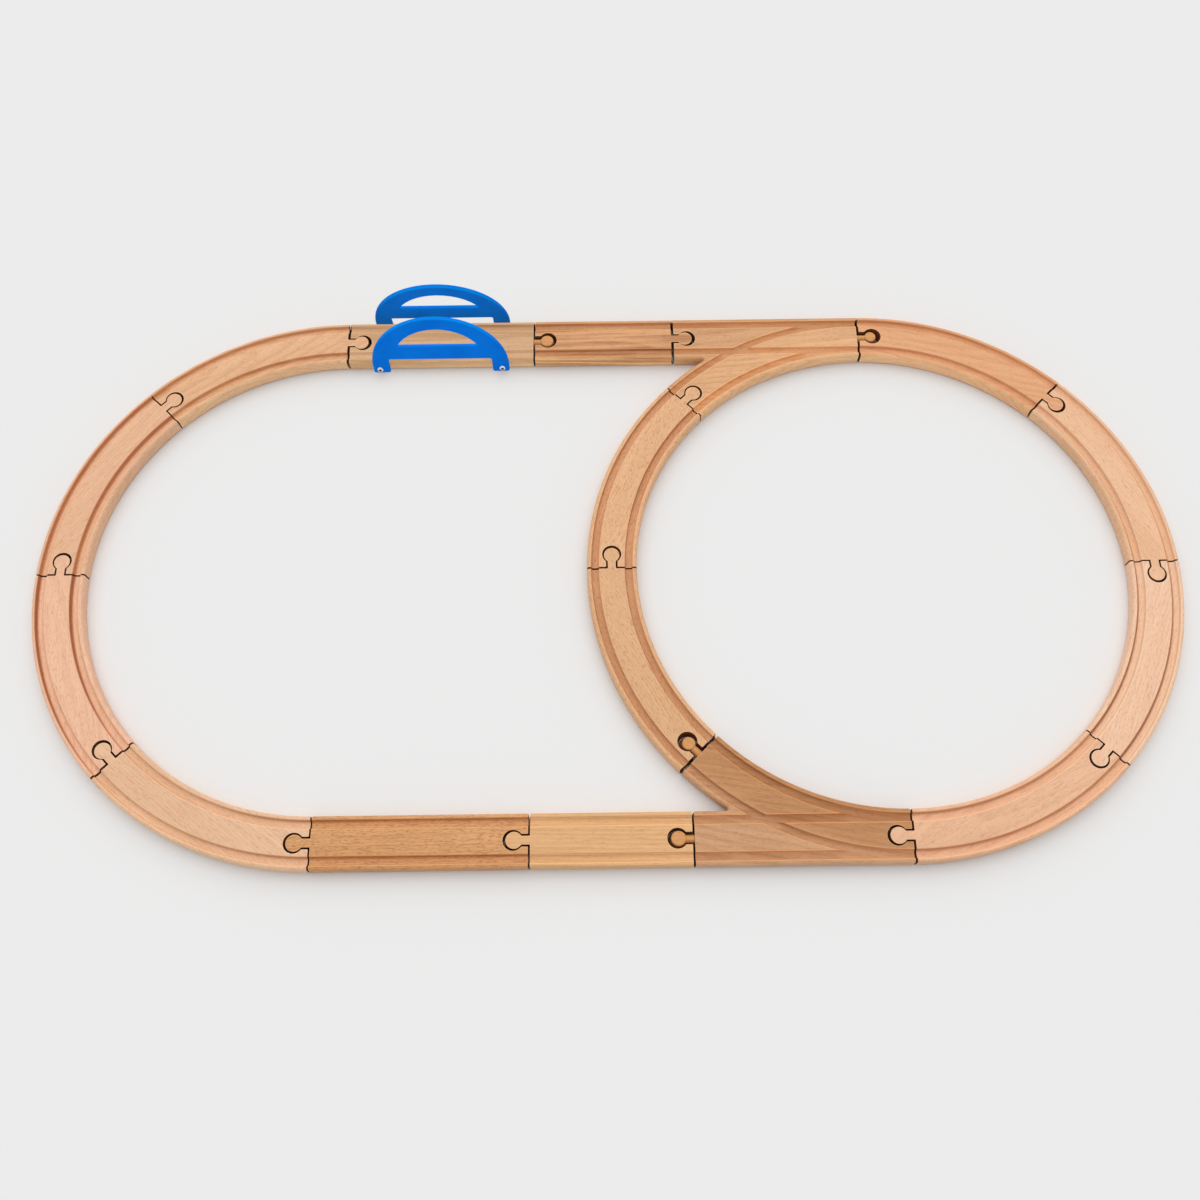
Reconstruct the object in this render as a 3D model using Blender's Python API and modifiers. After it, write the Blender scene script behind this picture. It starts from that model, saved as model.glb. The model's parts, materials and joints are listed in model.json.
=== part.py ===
import math

import bmesh
import bpy
from mathutils import Matrix, Vector

# Section of the wooden track, in metres
TRACK_WIDTH = 0.040
TRACK_THICKNESS = 0.012
EDGE_CHAMFER = 0.0010
GROOVE_WIDTH = 0.0062
GROOVE_DEPTH = 0.0030
GROOVE_SPACING = 0.0270

# Plan of the layout: a long loop whose right end closes into a full circle
CURVE_RADIUS = 0.218
CURVE_ANGLE = math.radians(45)
LONG_LENGTH = 0.160
SHORT_LENGTH = 0.120
JOINT_GAP = 0.0012
CROTCH_RADIUS = 0.0015

# Knob cut on one end of a board, and the keyhole socket that takes it
KNOB_RADIUS = 0.0063
KNOB_NECK = 0.0065
KNOB_REACH = 0.0118
SOCKET_CLEARANCE = 0.0012

# Separate peg: a round head on a dowel that is glued into a drilled end
PEG_HEAD_RADIUS = 0.0058
PEG_HEAD_HEIGHT = 0.0086
PEG_HEAD_CHAMFER = 0.0009
PEG_DOWEL_RADIUS = 0.0031
PEG_SHANK = 0.0140

# Blue side panel of the bridge: an arch with a window, standing on two feet
PANEL_WIDTH = 0.118
PANEL_HEIGHT = 0.0690
PANEL_THICKNESS = 0.0034
PANEL_EDGE = 0.0007
PANEL_LEAN = math.radians(6)
PANEL_FOOT_LIFT = 0.0015
PANEL_SPRING = 0.0090
FOOT_WIDTH = 0.0145
FOOT_CORNER = 0.0020
FOOT_GAP_TOP = 0.0185
WINDOW_WIDTH = 0.069
WINDOW_SILL = 0.0350
WINDOW_TOP = 0.0555

# Screws that hold the panels to the sides of the bridge
SCREW_SPREAD = 0.106
SCREW_HEIGHT = 0.0065
SCREW_HEAD_RADIUS = 0.0028
SCREW_HEAD_HEIGHT = 0.0016
SCREW_SHANK_RADIUS = 0.0013
SCREW_LENGTH = 0.0130

# Clearance of a fitted piece, and how far a cutter stands past what it cuts
FIT = 0.0003
OVERCUT = 0.0030

ARC_STEP = math.radians(4.5)
ROUND_STEP = math.radians(24)
SMALL_SIDES = 12
SMOOTH_ANGLE = math.radians(35)

HALF_WIDTH = TRACK_WIDTH / 2
HALF_GAP = JOINT_GAP / 2
ROW_LENGTH = 2 * LONG_LENGTH + SHORT_LENGTH + 3 * JOINT_GAP
GAP_ANGLE = HALF_GAP / CURVE_RADIUS

WOODS = {
    "left_curve_1": (0.75, 0.43, 0.24),
    "left_curve_2": (0.76, 0.44, 0.27),
    "left_curve_3": (0.79, 0.46, 0.295),
    "left_curve_4": (0.74, 0.45, 0.27),
    "right_curve_1": (0.73, 0.365, 0.175),
    "right_curve_2": (0.795, 0.465, 0.28),
    "right_curve_3": (0.82, 0.515, 0.33),
    "right_curve_4": (0.755, 0.43, 0.25),
    "inner_curve_1": (0.74, 0.41, 0.215),
    "inner_curve_2": (0.69, 0.39, 0.20),
    "near_long_straight": (0.58, 0.285, 0.11),
    "near_short_straight": (0.69, 0.39, 0.175),
    "far_short_straight": (0.60, 0.295, 0.14),
    "bridge_track": (0.66, 0.40, 0.22),
    "far_switch": (0.70, 0.37, 0.18),
    "near_switch": (0.52, 0.26, 0.12),
    "pegs": (0.60, 0.265, 0.085),
}
PANEL_BLUE = (0.0, 0.185, 0.800)
SCREW_STEEL = (0.62, 0.60, 0.56)


def clear_scene():
    for thing in list(bpy.data.objects):
        bpy.data.objects.remove(thing, do_unlink=True)


def collection(name):
    made = bpy.data.collections.new(name)
    bpy.context.scene.collection.children.link(made)
    return made


def material(name, colour, roughness, metallic=0.0):
    made = bpy.data.materials.new(name)
    made.use_nodes = True
    shader = made.node_tree.nodes["Principled BSDF"]
    shader.inputs["Base Color"].default_value = (*colour, 1.0)
    shader.inputs["Roughness"].default_value = roughness
    shader.inputs["Metallic"].default_value = metallic
    made.diffuse_color = (*colour, 1.0)
    return made


def arc(radius, start, stop, step=ARC_STEP, centre=(0.0, 0.0)):
    # Points along an arc, both ends included
    count = max(2, round(abs(stop - start) / step))
    points = []
    for index in range(count + 1):
        angle = start + (stop - start) * index / count
        points.append((centre[0] + radius * math.cos(angle), centre[1] + radius * math.sin(angle)))
    return points


def knob_points():
    # The knob seen along +X out of the end face, from its right side round to its left
    half_neck = KNOB_NECK / 2
    opening = math.pi - math.asin(half_neck / KNOB_RADIUS)
    head = arc(KNOB_RADIUS, -opening, opening, ROUND_STEP, (KNOB_REACH, 0.0))
    return [(0.0, -half_neck), *head, (0.0, half_neck)]


def socket_points():
    # The keyhole goes back into the board from the end face, a clearance larger than the knob
    radius = KNOB_RADIUS + SOCKET_CLEARANCE
    half_slot = KNOB_NECK / 2 + SOCKET_CLEARANCE
    opening = math.asin(half_slot / radius)
    depth = KNOB_REACH - JOINT_GAP
    hollow = arc(radius, -opening, opening - 2 * math.pi, ROUND_STEP, (-depth, 0.0))
    return [(0.0, -half_slot), *hollow, (0.0, half_slot)]


END_POINTS = {"knob": knob_points, "socket": socket_points, "peg": list}


def end_outline(kind, centre, heading):
    # An end's own points, turned to its heading; the corners belong to the sides
    turn = Matrix.Rotation(heading, 2)
    return [tuple(Vector(centre) + turn @ Vector(point)) for point in END_POINTS[kind]()]


def on_circle(radius, angle):
    return (radius * math.cos(angle), radius * math.sin(angle))


def curve_outline():
    # One curve about the middle of its circle; the knob is on its clockwise end
    start = GAP_ANGLE
    stop = CURVE_ANGLE - GAP_ANGLE
    quarter = math.pi / 2
    return [
        *arc(CURVE_RADIUS + HALF_WIDTH, start, stop),
        *end_outline("socket", on_circle(CURVE_RADIUS, stop), stop + quarter),
        *arc(CURVE_RADIUS - HALF_WIDTH, stop, start),
        *end_outline("knob", on_circle(CURVE_RADIUS, start), start - quarter),
    ]


def straight_outline(length, right_end, left_end):
    half = length / 2
    return [
        (half, -HALF_WIDTH),
        *end_outline(right_end, (half, 0.0), 0.0),
        (half, HALF_WIDTH),
        (-half, HALF_WIDTH),
        *end_outline(left_end, (-half, 0.0), math.pi),
        (-half, -HALF_WIDTH),
    ]


def switch_outline(common_end, through_end, branch_end):
    # The straight road lies over the top of the circle and the branch follows the circle down
    outer = CURVE_RADIUS + HALF_WIDTH
    inner = CURVE_RADIUS - HALF_WIDTH
    right = -HALF_GAP
    left = right - LONG_LENGTH
    branch_angle = math.pi / 2 + CURVE_ANGLE - GAP_ANGLE
    common_angle = math.pi / 2 + math.asin(HALF_GAP / inner)
    # The notch between the roads ends in a small round that touches both
    crotch_y = inner - CROTCH_RADIUS
    crotch_x = -math.sqrt((outer + CROTCH_RADIUS) ** 2 - crotch_y ** 2)
    crotch_angle = math.atan2(crotch_y, crotch_x)
    crotch = arc(CROTCH_RADIUS, math.pi / 2, crotch_angle - math.pi, math.radians(40), (crotch_x, crotch_y))
    return [
        *end_outline(common_end, (right, CURVE_RADIUS), 0.0),
        (right, outer),
        (left, outer),
        *end_outline(through_end, (left, CURVE_RADIUS), math.pi),
        (left, inner),
        *crotch,
        *arc(outer, crotch_angle, branch_angle)[1:],
        *end_outline(branch_end, on_circle(CURVE_RADIUS, branch_angle), branch_angle + math.pi / 2),
        *arc(inner, branch_angle, common_angle),
    ]


def mirrored(outline):
    return [(x, -y) for x, y in reversed(outline)]


def slab(name, outlines, thickness, chamfer):
    # A flat board standing on z = 0; a second outline inside the first is a window
    curve = bpy.data.curves.new(name, "CURVE")
    curve.dimensions = "2D"
    curve.fill_mode = "BOTH"
    curve.extrude = thickness / 2 - chamfer
    curve.bevel_depth = chamfer
    curve.bevel_resolution = 0
    curve.offset = -chamfer
    for outline in outlines:
        spline = curve.splines.new("POLY")
        spline.points.add(len(outline) - 1)
        for point, (x, y) in zip(spline.points, outline):
            point.co = (x, y, 0.0, 1.0)
        spline.use_cyclic_u = True
    drawn = bpy.data.objects.new(name, curve)
    bpy.context.scene.collection.objects.link(drawn)
    graph = bpy.context.evaluated_depsgraph_get()
    mesh = bpy.data.meshes.new_from_object(drawn.evaluated_get(graph))
    bpy.data.objects.remove(drawn)
    bpy.data.curves.remove(curve)
    shape = bmesh.new()
    shape.from_mesh(mesh)
    bmesh.ops.remove_doubles(shape, verts=shape.verts, dist=1e-6)
    bmesh.ops.recalc_face_normals(shape, faces=shape.faces)
    bmesh.ops.translate(shape, verts=shape.verts, vec=(0.0, 0.0, thickness / 2))
    shape.to_mesh(mesh)
    shape.free()
    mesh.name = name
    return mesh


def cylinder_mesh(name, radius, bottom, top, sides=SMALL_SIDES, axis="Z"):
    # A plain cylinder from bottom to top along an axis
    shape = bmesh.new()
    bmesh.ops.create_cone(
        shape, cap_ends=True, segments=sides, radius1=radius, radius2=radius, depth=top - bottom)
    bmesh.ops.translate(shape, verts=shape.verts, vec=(0.0, 0.0, (top + bottom) / 2))
    if axis == "X":
        bmesh.ops.rotate(shape, verts=shape.verts, matrix=Matrix.Rotation(math.pi / 2, 3, "Y"))
    mesh = bpy.data.meshes.new(name)
    shape.to_mesh(mesh)
    shape.free()
    return mesh


def cutter(name, mesh, place=None):
    made = bpy.data.objects.new(name, mesh)
    if place is not None:
        made.matrix_world = place
    made.hide_render = True
    made.display_type = "WIRE"
    cutters.objects.link(made)
    return made


def combined(name, mesh, others, operation="DIFFERENCE"):
    # The mesh after a Boolean with each of the other objects
    body = bpy.data.objects.new(name, mesh)
    bpy.context.scene.collection.objects.link(body)
    for other in others:
        change = body.modifiers.new(other.name, "BOOLEAN")
        change.operation = operation
        change.object = other
        change.solver = "EXACT"
    bpy.context.view_layer.update()
    graph = bpy.context.evaluated_depsgraph_get()
    made = bpy.data.meshes.new_from_object(body.evaluated_get(graph))
    bpy.data.objects.remove(body)
    made.name = name
    return made


def groove_levels(both_faces):
    # Bottom and top of the groove cutters: from above, and from below where a board can be turned over
    levels = [(TRACK_THICKNESS - GROOVE_DEPTH, TRACK_THICKNESS + OVERCUT)]
    if both_faces:
        levels.append((-OVERCUT, GROOVE_DEPTH))
    return levels


def groove_sides():
    # Inner and outer edge of each groove, measured from the middle line
    for side in (-1, 1):
        middle = side * GROOVE_SPACING / 2
        yield middle - GROOVE_WIDTH / 2, middle + GROOVE_WIDTH / 2


def groove_cutters(name, outlines, both_faces):
    made = []
    for level, (bottom, top) in enumerate(groove_levels(both_faces)):
        for index, outline in enumerate(outlines):
            mesh = slab(f"{name}_{level}_{index}", [outline], top - bottom, 0.0)
            made.append(cutter(mesh.name, mesh, Matrix.Translation((0.0, 0.0, bottom))))
    return made


def straight_grooves(name, left, right, middle, both_faces):
    outlines = []
    for low, high in groove_sides():
        outlines.append([
            (left - OVERCUT, middle + low),
            (right + OVERCUT, middle + low),
            (right + OVERCUT, middle + high),
            (left - OVERCUT, middle + high),
        ])
    return groove_cutters(name, outlines, both_faces)


def curved_grooves(name, start, stop, both_faces):
    past = OVERCUT / CURVE_RADIUS
    outlines = []
    for low, high in groove_sides():
        outlines.append([
            *arc(CURVE_RADIUS + high, start - past, stop + past),
            *arc(CURVE_RADIUS + low, stop + past, start - past),
        ])
    return groove_cutters(name, outlines, both_faces)


def turned_about_z(point, heading):
    # A frame whose +X leaves an end face at half the board's thickness
    place = Matrix.Translation((point[0], point[1], TRACK_THICKNESS / 2))
    return place @ Matrix.Rotation(heading, 4, "Z")


def peg_bore(name, place):
    mesh = cylinder_mesh(name, PEG_DOWEL_RADIUS + FIT, -PEG_SHANK - FIT, OVERCUT, axis="X")
    return cutter(name, mesh, place)


def peg_mesh():
    # Along +X out of the end face: dowel in the bore, neck, and a round head with its axis upright
    head_middle = KNOB_REACH
    dowel = cylinder_mesh("peg_dowel", PEG_DOWEL_RADIUS, -PEG_SHANK, head_middle, axis="X")
    rim = arc(PEG_HEAD_RADIUS, 0.0, 2 * math.pi, ROUND_STEP, (head_middle, 0.0))[:-1]
    head_mesh = slab("peg_head", [rim], PEG_HEAD_HEIGHT, PEG_HEAD_CHAMFER)
    head = cutter("peg_head", head_mesh, Matrix.Translation((0.0, 0.0, -PEG_HEAD_HEIGHT / 2)))
    return combined("peg", dowel, [head], "UNION")


def panel_mesh():
    # Drawn flat with y = 0 level with the top of the track, feet below and arch above
    ground = -TRACK_THICKNESS
    half = PANEL_WIDTH / 2
    spring = PANEL_SPRING + ground
    rise = PANEL_HEIGHT - PANEL_SPRING
    foot = PANEL_FOOT_LIFT + ground
    gap_top = FOOT_GAP_TOP + ground
    gap_half = half - FOOT_WIDTH
    arch = [(x * half, spring + y * rise) for x, y in arc(1.0, 0.0, math.pi, math.radians(9))]
    corner = [(half - FOOT_CORNER / 2, foot), (half, foot + FOOT_CORNER)]
    outline = [
        *corner,
        *arch,
        (-corner[1][0], corner[1][1]),
        (-corner[0][0], corner[0][1]),
        (-gap_half, foot),
        (-gap_half, gap_top),
        (gap_half, gap_top),
        (gap_half, foot),
    ]
    # The window is the part of a circle above its sill
    window_half = WINDOW_WIDTH / 2
    window_rise = WINDOW_TOP - WINDOW_SILL
    radius = (window_half ** 2 + window_rise ** 2) / (2 * window_rise)
    middle = WINDOW_TOP - radius + ground
    edge = math.asin((radius - window_rise) / radius)
    window = arc(radius, edge, math.pi - edge, math.radians(11), (0.0, middle))
    mesh = slab("bridge_panel", [outline, window], PANEL_THICKNESS, PANEL_EDGE)
    mesh.transform(Matrix.Translation((0.0, 0.0, FIT)))
    return mesh


def screw_mesh():
    # Turned about the screw's own axis: a low domed head on the panel and a shank going in
    face = PANEL_THICKNESS + 2 * FIT
    profile = [
        (0.0, face + SCREW_HEAD_HEIGHT),
        (SCREW_HEAD_RADIUS * 0.55, face + SCREW_HEAD_HEIGHT * 0.9),
        (SCREW_HEAD_RADIUS, face + SCREW_HEAD_HEIGHT * 0.35),
        (SCREW_HEAD_RADIUS, face),
        (SCREW_SHANK_RADIUS, face),
        (SCREW_SHANK_RADIUS, face - SCREW_LENGTH + SCREW_SHANK_RADIUS),
        (0.0, face - SCREW_LENGTH),
    ]
    line = bpy.data.meshes.new("screw_profile")
    points = [(x, 0.0, z) for x, z in profile]
    line.from_pydata(points, [(i, i + 1) for i in range(len(points) - 1)], [])
    turned = bpy.data.objects.new("screw_profile", line)
    bpy.context.scene.collection.objects.link(turned)
    spin = turned.modifiers.new("turn", "SCREW")
    spin.axis = "Z"
    spin.angle = 2 * math.pi
    spin.steps = SMALL_SIDES
    spin.render_steps = SMALL_SIDES
    spin.use_merge_vertices = True
    spin.merge_threshold = 0.00001
    graph = bpy.context.evaluated_depsgraph_get()
    mesh = bpy.data.meshes.new_from_object(turned.evaluated_get(graph))
    bpy.data.objects.remove(turned)
    mesh.name = "panel_screw"
    return mesh


def part(name, mesh, look, parent, place=None):
    mesh = mesh.copy()
    mesh.name = name
    mesh.materials.clear()
    mesh.materials.append(look)
    mesh.shade_smooth()
    mesh.set_sharp_from_angle(angle=SMOOTH_ANGLE)
    made = bpy.data.objects.new(name, mesh)
    parts.objects.link(made)
    made.parent = parent
    if place is not None:
        made.matrix_local = place
    return made


def empty(name, parent=None, place=None):
    made = bpy.data.objects.new(name, None)
    parts.objects.link(made)
    made.parent = parent
    if place is not None:
        made.matrix_local = place
    return made


def wood(name):
    tone = WOODS["pegs"] if name.endswith("peg") else WOODS[name]
    return material(f"{name}_wood", tone, 0.6)


def add_curves(layout, left_circle, right_circle):
    start = GAP_ANGLE
    stop = CURVE_ANGLE - GAP_ANGLE
    board = slab("curve_board", [curve_outline()], TRACK_THICKNESS, EDGE_CHAMFER)
    mesh = combined("curve", board, curved_grooves("curve_groove", start, stop, True))
    # Which eighth of its circle each curve fills, counted anticlockwise from +X
    eighths = {
        "left_curve": (left_circle, (2, 3, 4, 5)),
        "right_curve": (right_circle, (1, 0, -1, -2)),
        "inner_curve": (right_circle, (3, 4)),
    }
    for family, (middle, places) in eighths.items():
        for number, eighth in enumerate(places, start=1):
            name = f"{family}_{number}"
            turn = Matrix.Rotation(eighth * CURVE_ANGLE, 4, "Z")
            part(name, mesh, wood(name), layout, Matrix.Translation(middle) @ turn)


def add_short_straights(layout):
    half = SHORT_LENGTH / 2
    outline = straight_outline(SHORT_LENGTH, "knob", "socket")
    board = slab("short_board", [outline], TRACK_THICKNESS, EDGE_CHAMFER)
    mesh = combined("short_straight", board, straight_grooves("short_groove", -half, half, 0.0, True))
    far = Matrix.Translation((0.0, CURVE_RADIUS, 0.0))
    part("far_short_straight", mesh, wood("far_short_straight"), layout, far)
    near = Matrix.Translation((0.0, -CURVE_RADIUS, 0.0)) @ Matrix.Rotation(math.pi, 4, "Z")
    part("near_short_straight", mesh, wood("near_short_straight"), layout, near)


def add_long_straight(layout, long_middle):
    half = LONG_LENGTH / 2
    outline = straight_outline(LONG_LENGTH, "knob", "socket")
    board = slab("long_board", [outline], TRACK_THICKNESS, EDGE_CHAMFER)
    mesh = combined("long_straight", board, straight_grooves("long_groove", -half, half, 0.0, True))
    place = Matrix.Translation((-long_middle, -CURVE_RADIUS, 0.0)) @ Matrix.Rotation(math.pi, 4, "Z")
    part("near_long_straight", mesh, wood("near_long_straight"), layout, place)


def panel_place(side):
    # Panels stand on the two sides of the bridge and lean in over the track from its top edge
    stand = Matrix.Rotation(math.pi / 2 - PANEL_LEAN, 4, "X")
    edge = Matrix.Translation((0.0, -HALF_WIDTH, TRACK_THICKNESS))
    turn = Matrix.Rotation(0.0 if side == "near" else math.pi, 4, "Z")
    return turn @ edge @ stand


def add_bridge(layout, long_middle, peg):
    half = LONG_LENGTH / 2
    bridge = empty("bridge", layout, Matrix.Translation((-long_middle, CURVE_RADIUS, 0.0)))
    outline = straight_outline(LONG_LENGTH, "peg", "socket")
    board = slab("bridge_board", [outline], TRACK_THICKNESS, EDGE_CHAMFER)
    cuts = straight_grooves("bridge_groove", -half, half, 0.0, False)
    peg_place = turned_about_z((half, 0.0), 0.0)
    cuts.append(peg_bore("bridge_peg_bore", peg_place))
    panel = panel_mesh()
    screw = screw_mesh()
    blue = material("panel_blue", PANEL_BLUE, 0.35)
    steel = material("screw_steel", SCREW_STEEL, 0.35, 1.0)
    screw_low = SCREW_HEIGHT - TRACK_THICKNESS
    bore_radius = SCREW_SHANK_RADIUS + FIT
    for side in ("near", "far"):
        stand = panel_place(side)
        holes = []
        for end, across in (("left", -1), ("right", 1)):
            across = across if side == "near" else -across
            spot = Matrix.Translation((across * SCREW_SPREAD / 2, screw_low, 0.0))
            name = f"{side}_panel_screw_{end}"
            part(name, screw, steel, bridge, stand @ spot)
            bore = cylinder_mesh(f"{name}_bore", bore_radius, -SCREW_LENGTH, PANEL_THICKNESS + OVERCUT)
            cuts.append(cutter(bore.name, bore, stand @ spot))
            holes.append(cutter(f"{name}_hole", bore, spot))
        pierced = combined(f"{side}_panel", panel, holes)
        part(f"{side}_bridge_panel", pierced, blue, bridge, stand)
    mesh = combined("bridge_track", board, cuts)
    part("bridge_track", mesh, wood("bridge_track"), bridge)
    part("bridge_peg", peg, wood("bridge_peg"), bridge, peg_place)


def switch_ends():
    # End faces of the far switch: where each is and which way it looks
    branch_angle = math.pi / 2 + CURVE_ANGLE - GAP_ANGLE
    return {
        "common": ((-HALF_GAP, CURVE_RADIUS), 0.0),
        "through": ((-HALF_GAP - LONG_LENGTH, CURVE_RADIUS), math.pi),
        "branch": (on_circle(CURVE_RADIUS, branch_angle), branch_angle + math.pi / 2),
    }


def add_switch(layout, side, right_circle, kinds, peg, peg_names):
    # The near switch is the far one's mirror image, with knobs where that has sockets
    name = f"{side}_switch"
    flip = 1 if side == "far" else -1
    start = math.pi / 2 + GAP_ANGLE
    stop = math.pi / 2 + CURVE_ANGLE - GAP_ANGLE
    outline = switch_outline(kinds["common"], kinds["through"], kinds["branch"])
    if side == "near":
        outline = mirrored(outline)
        start, stop = -stop, -start
    board = slab(f"{name}_board", [outline], TRACK_THICKNESS, EDGE_CHAMFER)
    left = -HALF_GAP - LONG_LENGTH
    cuts = straight_grooves(f"{name}_straight_groove", left, -HALF_GAP, flip * CURVE_RADIUS, False)
    cuts += curved_grooves(f"{name}_curved_groove", start, stop, False)
    place = Matrix.Translation(right_circle)
    for end, (point, heading) in switch_ends().items():
        if kinds[end] == "peg":
            seat = turned_about_z((point[0], flip * point[1]), flip * heading)
            cuts.append(peg_bore(f"{peg_names[end]}_bore", seat))
            part(peg_names[end], peg, wood(peg_names[end]), layout, place @ seat)
    part(name, combined(name, board, cuts), wood(name), layout, place)


def centre_on_floor(layout):
    # The set's origin is the middle of its footprint, on the floor
    bpy.context.view_layer.update()
    corners = []
    for piece in parts.objects:
        if piece.type == "MESH":
            corners += [piece.matrix_world @ vertex.co for vertex in piece.data.vertices]
    low = Vector(min(corner[axis] for corner in corners) for axis in range(3))
    high = Vector(max(corner[axis] for corner in corners) for axis in range(3))
    layout.location -= Vector(((low.x + high.x) / 2, (low.y + high.y) / 2, low.z))
    bpy.context.view_layer.update()


clear_scene()
parts = collection("wooden_train_track")
cutters = collection("cutters")
track_layout = empty("track_layout")
left_middle = Vector((-ROW_LENGTH / 2, 0.0, 0.0))
right_middle = Vector((ROW_LENGTH / 2, 0.0, 0.0))
long_offset = (ROW_LENGTH - LONG_LENGTH - JOINT_GAP) / 2
peg_shape = peg_mesh()
add_curves(track_layout, left_middle, right_middle)
add_short_straights(track_layout)
add_long_straight(track_layout, long_offset)
add_bridge(track_layout, long_offset, peg_shape)
far_ends = {"common": "peg", "through": "socket", "branch": "socket"}
add_switch(track_layout, "far", right_middle, far_ends, peg_shape, {"common": "far_switch_peg"})
near_ends = {"common": "socket", "through": "peg", "branch": "peg"}
near_pegs = {"through": "near_switch_peg", "branch": "near_switch_branch_peg"}
add_switch(track_layout, "near", right_middle, near_ends, peg_shape, near_pegs)
centre_on_floor(track_layout)
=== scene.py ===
import bpy
import bmesh
import json
import math
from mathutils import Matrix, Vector

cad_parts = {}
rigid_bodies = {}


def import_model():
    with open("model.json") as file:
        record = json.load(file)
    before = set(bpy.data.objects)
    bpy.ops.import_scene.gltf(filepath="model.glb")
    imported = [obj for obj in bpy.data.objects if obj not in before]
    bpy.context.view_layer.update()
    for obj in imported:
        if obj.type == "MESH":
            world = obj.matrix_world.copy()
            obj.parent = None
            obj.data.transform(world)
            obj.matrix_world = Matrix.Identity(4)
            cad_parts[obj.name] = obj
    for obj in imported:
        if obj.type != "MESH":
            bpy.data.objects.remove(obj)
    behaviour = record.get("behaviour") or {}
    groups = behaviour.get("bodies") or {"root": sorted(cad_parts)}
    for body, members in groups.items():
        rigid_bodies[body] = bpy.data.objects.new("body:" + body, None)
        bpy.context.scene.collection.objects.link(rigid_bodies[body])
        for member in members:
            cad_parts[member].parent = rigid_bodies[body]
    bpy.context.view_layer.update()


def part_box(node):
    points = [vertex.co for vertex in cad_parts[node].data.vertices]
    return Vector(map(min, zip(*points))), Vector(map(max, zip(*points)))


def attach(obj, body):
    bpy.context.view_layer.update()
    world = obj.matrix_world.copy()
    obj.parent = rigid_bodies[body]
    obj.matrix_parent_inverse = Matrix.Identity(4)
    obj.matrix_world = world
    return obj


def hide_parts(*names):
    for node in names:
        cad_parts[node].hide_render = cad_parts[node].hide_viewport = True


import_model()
scene = bpy.context.scene
mm = 0.001
slim = 0.1 * mm  # near enough, where edges and corners are picked by their place
seam = 0.01 * mm  # near enough to lie on one line
samePoint = 0.001 * mm
crispAngle = math.radians(50)  # edges that turn by more are eased
downward = -0.9  # a normal below this points to the floor

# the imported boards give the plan: two straight rows and the circles at their ends
bridgeLow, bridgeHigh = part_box("bridge_track")
nearLow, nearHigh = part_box("near_long_straight")
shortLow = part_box("far_short_straight")[0]
rowFar = (bridgeLow.y + bridgeHigh.y) / 2
rowNear = (nearLow.y + nearHigh.y) / 2
middleY = (rowFar + rowNear) / 2
halfWidth = (bridgeHigh.y - bridgeLow.y) / 2
thickness = bridgeHigh.z
middleHeight = thickness / 2
radius = (rowFar - rowNear) / 2
longLength = bridgeHigh.x - bridgeLow.x
longX = (bridgeLow.x + bridgeHigh.x) / 2
shortLength = -2 * shortLow.x
gap = shortLow.x - bridgeHigh.x
gapAngle = gap / 2 / radius
leftCentre = Vector((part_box("left_curve_2")[0].x + radius + halfWidth, middleY, 0))
rightCentre = Vector((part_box("right_curve_2")[1].x - radius - halfWidth, middleY, 0))
eighth = math.radians(45)
quarter = math.radians(90)


class Wire:
    # a socket of a node tree; sums on it become Math nodes
    def __init__(self, tree, socket=None):
        self.tree = tree
        self.socket = socket

    def node(self, kind, settings=None, inputs=None, output=0):
        made = self.tree.nodes.new("ShaderNode" + kind)
        for name, value in (settings or {}).items():
            setattr(made, name, value)
        for name, value in (inputs or {}).items():
            if isinstance(value, Wire):
                self.tree.links.new(value.socket, made.inputs[name])
            else:
                made.inputs[name].default_value = value
        return Wire(self.tree, made.outputs[output])

    def math(self, operation, first, second=0.0):
        return self.node("Math", {"operation": operation}, {0: first, 1: second})

    def __add__(self, other):
        return self.math("ADD", self, other)

    __radd__ = __add__

    def __sub__(self, other):
        return self.math("SUBTRACT", self, other)

    def __rsub__(self, other):
        return self.math("SUBTRACT", other, self)

    def __mul__(self, other):
        return self.math("MULTIPLY", self, other)

    __rmul__ = __mul__

    def __truediv__(self, other):
        return self.math("DIVIDE", self, other)

    def __rtruediv__(self, other):
        return self.math("DIVIDE", other, self)

    def centred(self):
        # noise lies about one half
        return self - 0.5

    def ramp(self, low, high):
        return self.node("MapRange", {"interpolation_type": "SMOOTHSTEP"},
                         {"Value": self, "From Min": low, "From Max": high})

    def pattern(self, waves, detail, span=None, rough=0.5):
        # noise with so many waves in a metre along and across, drawn out over its span where one is given
        along, across = waves
        spread = self.node("VectorMath", {"operation": "MULTIPLY"}, {0: self, 1: (along, across, across)})
        made = self.node("TexNoise", None,
                         {"Vector": spread, "Scale": 1.0, "Detail": detail, "Roughness": rough})
        return made.ramp(*span) if span else made

    def paint(self, colour):
        made = self.node("RGB")
        made.socket.default_value = (*colour, 1)
        return made

    def toward(self, colour, share, blend="MIX"):
        # this colour, moved to another by a share
        settings = {"data_type": "RGBA", "blend_type": blend, "clamp_factor": True, "clamp_result": True}
        return self.node("Mix", settings, {0: share, 6: self, 7: (*colour, 1)}, 2)

    def parts(self):
        return [self.node("SeparateXYZ", None, {0: self}, axis) for axis in range(3)]

    def layer(self, label):
        return self.node("Attribute", {"attribute_name": label}, None, "Fac")


def newMaterial(name):
    made = bpy.data.materials.new(name)
    made.use_nodes = True
    tree = made.node_tree
    return made, Wire(tree), tree.nodes["Principled BSDF"]


def feed(wire, shader, name):
    wire.tree.links.new(wire.socket, shader.inputs[name])


def emboss(height, shader, finish):
    inputs = {"Height": height, "Strength": finish["bumpStrength"], "Distance": finish["bumpDepth"]}
    feed(height.node("Bump", None, inputs), shader, "Normal")


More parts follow.
